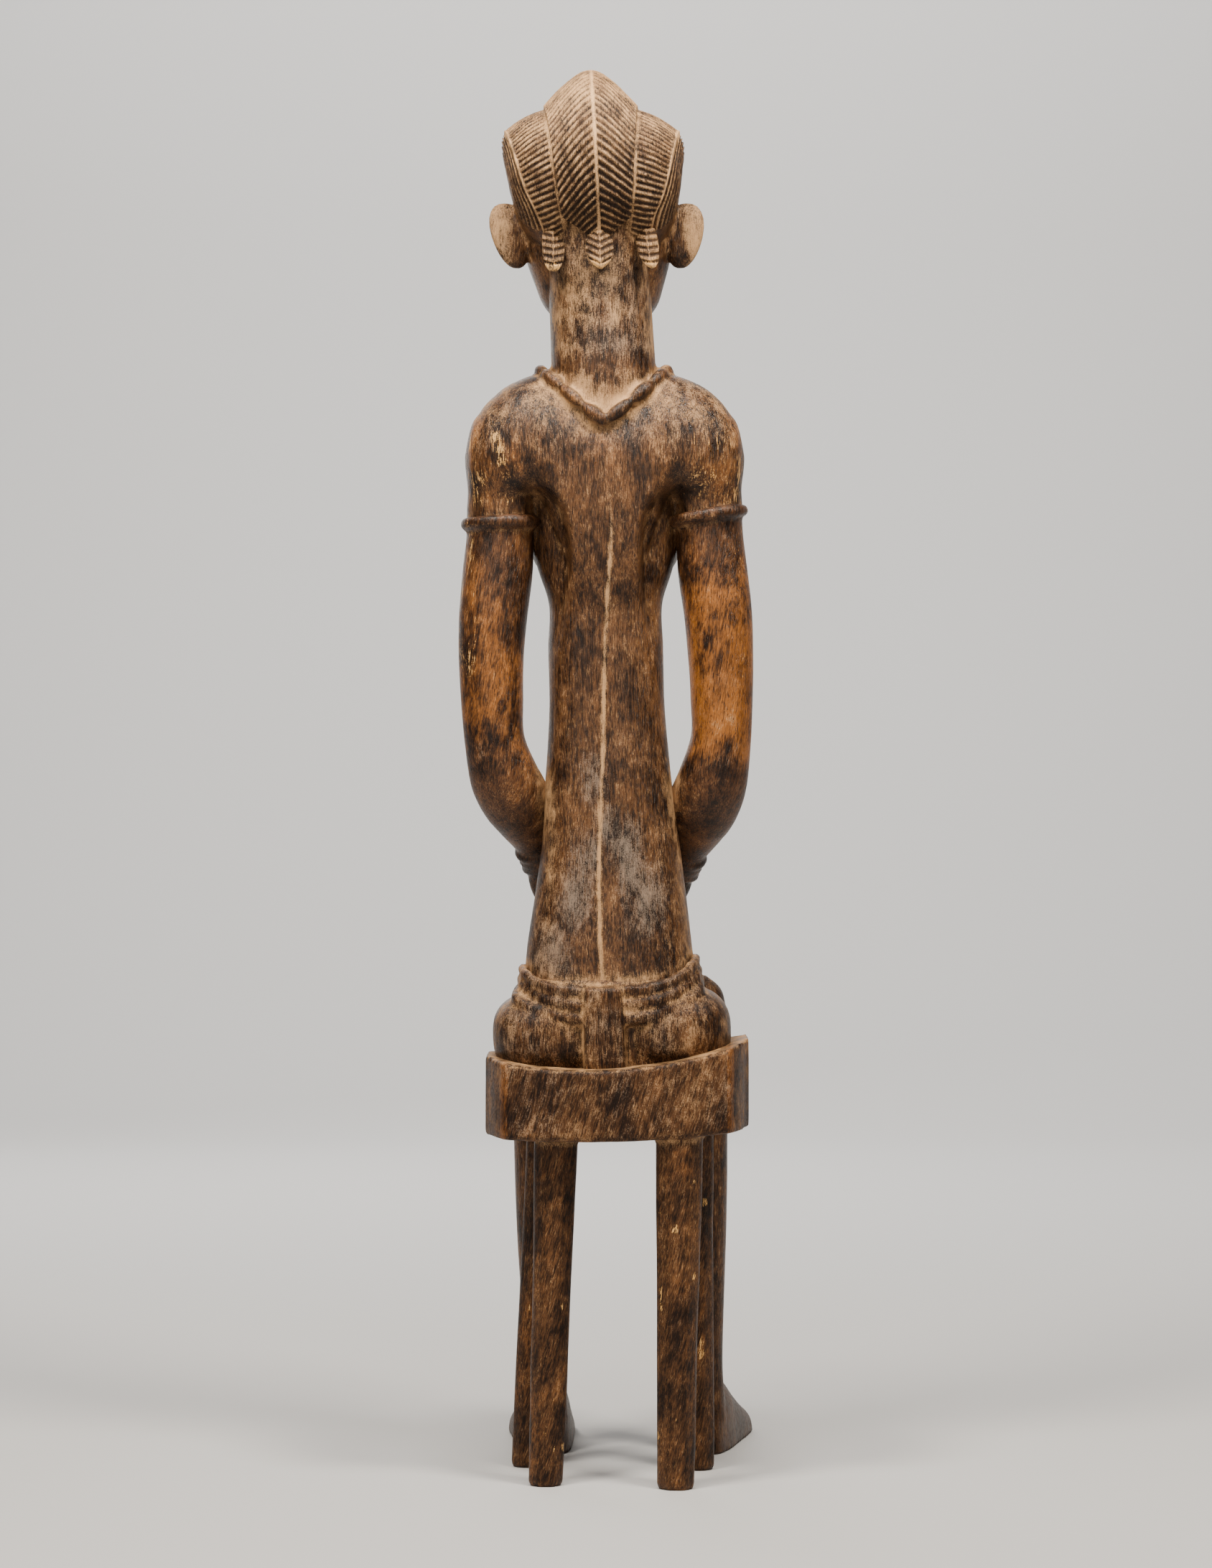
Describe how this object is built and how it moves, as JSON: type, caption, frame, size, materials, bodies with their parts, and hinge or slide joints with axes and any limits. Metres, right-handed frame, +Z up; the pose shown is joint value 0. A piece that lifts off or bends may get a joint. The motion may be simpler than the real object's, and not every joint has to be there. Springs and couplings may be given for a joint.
{
  "type": "wooden seated female figure",
  "caption": "Carved wooden woman seated on a legged stool, with crested hair, long neck, bead necklace, armbands, beaded belt and loincloth.",
  "frame": {"origin": "floor level, under the middle of the whole figure and stool", "axes": "+Z up, the figure faces -Y, +X towards her left"},
  "size_m": [0.1765, 0.2545, 0.8153],
  "materials": {
    "wood": "old dark hardwood with a worn dull polish and ochre dust in the carving"
  },
  "bodies": {
    "root": {"seated_figure": "wood"}
  },
  "joints": []
}
